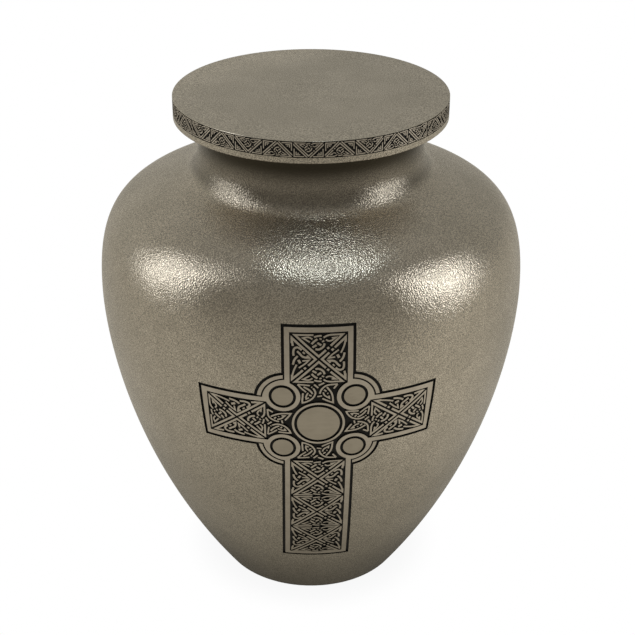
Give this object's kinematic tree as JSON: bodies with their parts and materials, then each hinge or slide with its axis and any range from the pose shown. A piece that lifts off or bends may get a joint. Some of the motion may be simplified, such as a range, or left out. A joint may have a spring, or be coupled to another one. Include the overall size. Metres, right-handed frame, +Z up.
{
  "type": "cremation urn",
  "caption": "Round-shouldered metal urn on a flat foot, with a ring-headed knotwork cross cut in its front and a lift-off lid.",
  "frame": {"origin": "centre of the flat underside of the foot", "axes": "+Z up along the urn's axis, the carved cross faces -Y, +X to its right as seen from the front"},
  "size_m": [0.182, 0.182, 0.2238],
  "materials": {
    "urn_metal": "pewter-toned plating with a fine sandblasted grain; black enamel in the cuts",
    "lid_metal": "pewter-toned plating with a fine grain on top; black enamel in the band"
  },
  "bodies": {
    "root": {"urn_body": "urn_metal", "urn_lid": "lid_metal"}
  },
  "joints": []
}
